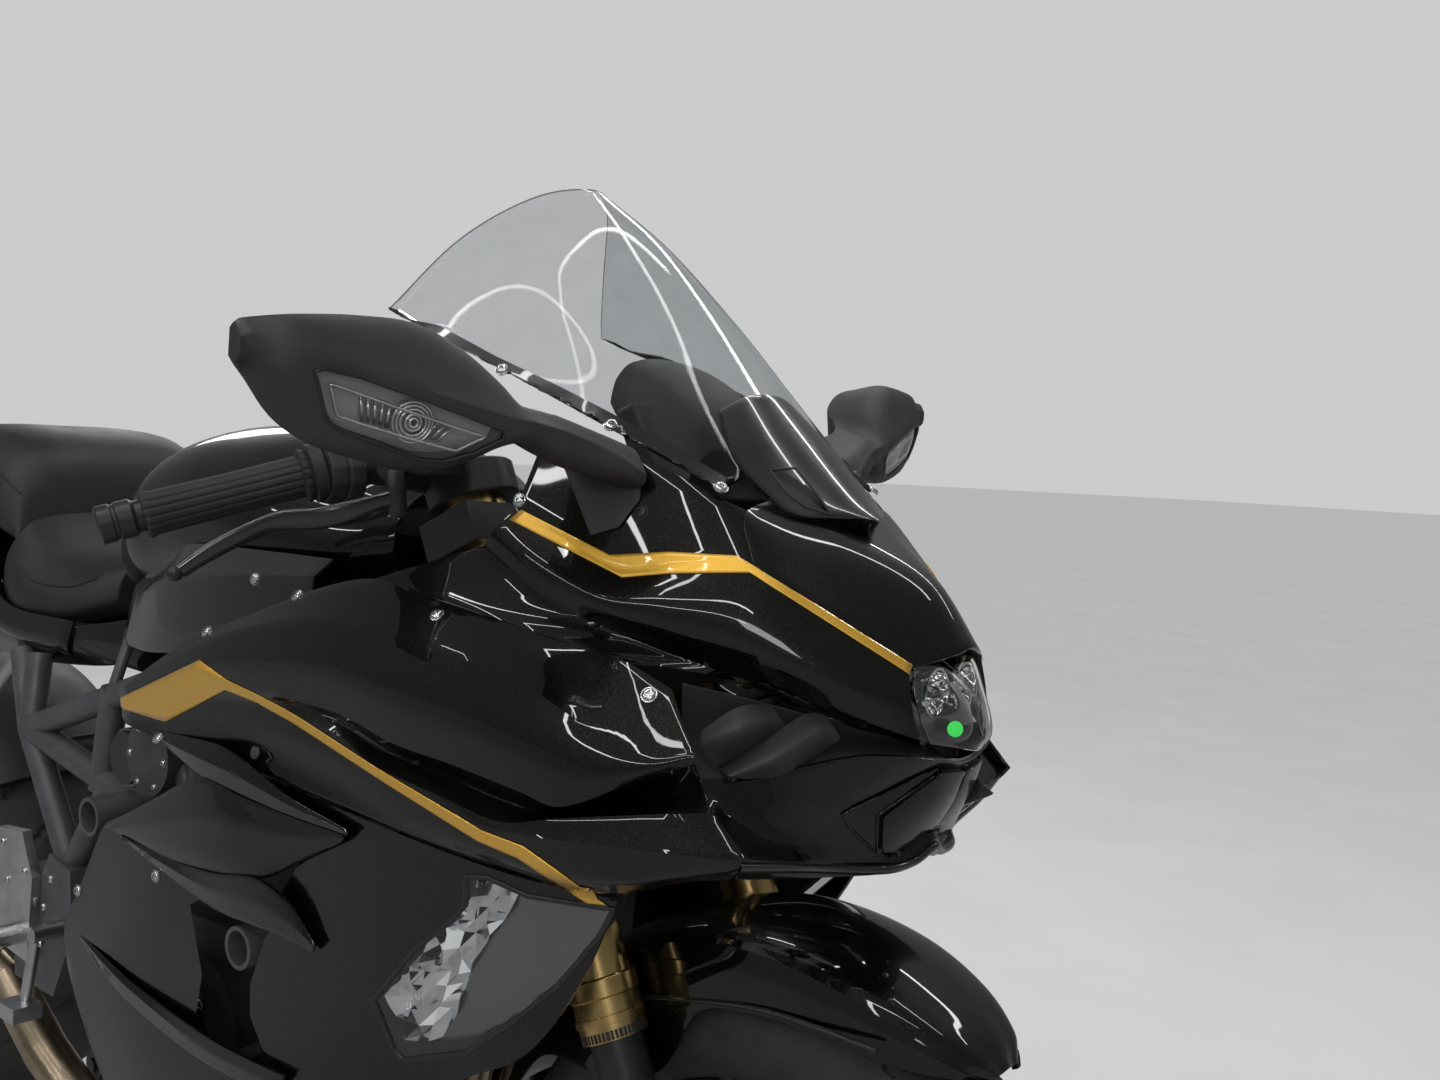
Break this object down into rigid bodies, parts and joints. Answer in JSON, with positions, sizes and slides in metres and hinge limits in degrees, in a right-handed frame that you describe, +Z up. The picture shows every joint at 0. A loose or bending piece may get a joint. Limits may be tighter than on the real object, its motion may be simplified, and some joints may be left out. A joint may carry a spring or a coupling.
{
  "type": "sport touring motorcycle",
  "caption": "Faired sport touring motorcycle on its centre stand, with steering, turning wheels and two folding stands.",
  "frame": {"origin": "on the ground under the middle of the overall length, on the centre plane", "axes": "+X forward, +Y to the rider's left, +Z up"},
  "size_m": [2.1348, 0.874, 1.249],
  "materials": {
    "gloss_black": "gloss, fine gold metal flake",
    "satin_gold": "gold anodised",
    "frame_grey": "satin dark grey",
    "black_metal": "satin black",
    "matte_black": "fine grain",
    "engine_grey": "cast, painted",
    "bare_alloy": "machined",
    "steel": "brushed",
    "pipe_steel": "heat tinted",
    "clear": "clear, lightly smoked",
    "lamp_clear": "clear lens",
    "lamp_red": "red and amber lenses",
    "mirror": "silvered",
    "tyre": "road tread",
    "grip_rubber": "ribbed",
    "seat_cover": "matte"
  },
  "bodies": {
    "chassis": {"chin_cowl": "gloss_black", "drive_chain": "steel", "engine_block": "engine_grey", "engine_covers": "engine_grey", "exhaust_pipes": "pipe_steel", "fairing_stay": "black_metal", "foot_levers": "bare_alloy", "footrests": "bare_alloy", "frame_left": "frame_grey", "frame_right": "frame_grey", "frame_sliders": "frame_grey", "front_lamps": "lamp_clear", "fuel_tank": "gloss_black", "grab_rails": "matte_black", "instrument_panel": "matte_black", "intake_vanes": "matte_black", "lower_fairing_left": "gloss_black", "lower_fairing_right": "gloss_black", "mirror_glass": "mirror", "mirror_signals": "lamp_clear", "mirrors": "matte_black", "pillion_seat": "seat_cover", "plate_hanger": "matte_black", "radiator": "black_metal", "rear_caliper": "black_metal", "rear_hugger": "matte_black", "rear_lamps": "lamp_red", "rear_shock": "steel", "rider_seat": "seat_cover", "screen_cap": "matte_black", "seat_rails": "black_metal", "side_fairing_left": "gloss_black", "side_fairing_right": "gloss_black", "silencer": "bare_alloy", "stand_brackets": "black_metal", "steering_head": "frame_grey", "swingarm": "black_metal", "tail_cowl": "gloss_black", "tank_covers": "matte_black", "upper_cowl": "gloss_black", "windscreen": "clear"},
    "steering": {"fork_outer_tubes": "satin_gold", "fork_lower_legs": "black_metal", "front_calipers": "black_metal", "triple_clamps": "black_metal", "handlebars": "black_metal", "grips": "grip_rubber", "bar_controls": "black_metal", "hand_levers": "black_metal", "front_fender": "gloss_black"},
    "front_wheel": {"front_tyre": "tyre", "front_rim": "black_metal", "front_discs": "steel"},
    "rear_wheel": {"rear_tyre": "tyre", "rear_rim": "black_metal", "rear_disc": "steel", "rear_axle": "steel"},
    "centre_stand_body": {"centre_stand": "black_metal"},
    "side_stand_body": {"side_stand": "black_metal"}
  },
  "joints": [
    {"name": "steering_turn", "type": "hinge", "parent": "chassis", "child": "steering", "pos_m": [0.47586, 0, 0.858], "axis": [-0.4179, 0, 0.9085], "range_deg": [-30, 30]},
    {"name": "front_wheel_spin", "type": "hinge", "parent": "steering", "child": "front_wheel", "pos_m": [0.7675, 0, 0.3], "axis": [0, 1, 0], "continuous": true},
    {"name": "rear_wheel_spin", "type": "hinge", "parent": "chassis", "child": "rear_wheel", "pos_m": [-0.7125, 0, 0.332], "axis": [0, 1, 0], "continuous": true},
    {"name": "centre_stand_fold", "type": "hinge", "parent": "chassis", "child": "centre_stand_body", "pos_m": [-0.0945, 0, 0.29], "axis": [0, 1, 0], "range_deg": [0, 90]},
    {"name": "side_stand_fold", "type": "hinge", "parent": "chassis", "child": "side_stand_body", "pos_m": [-0.0325, 0.182, 0.255], "axis": [0, 0.9659, 0.2588], "range_deg": [-100, 0]}
  ]
}
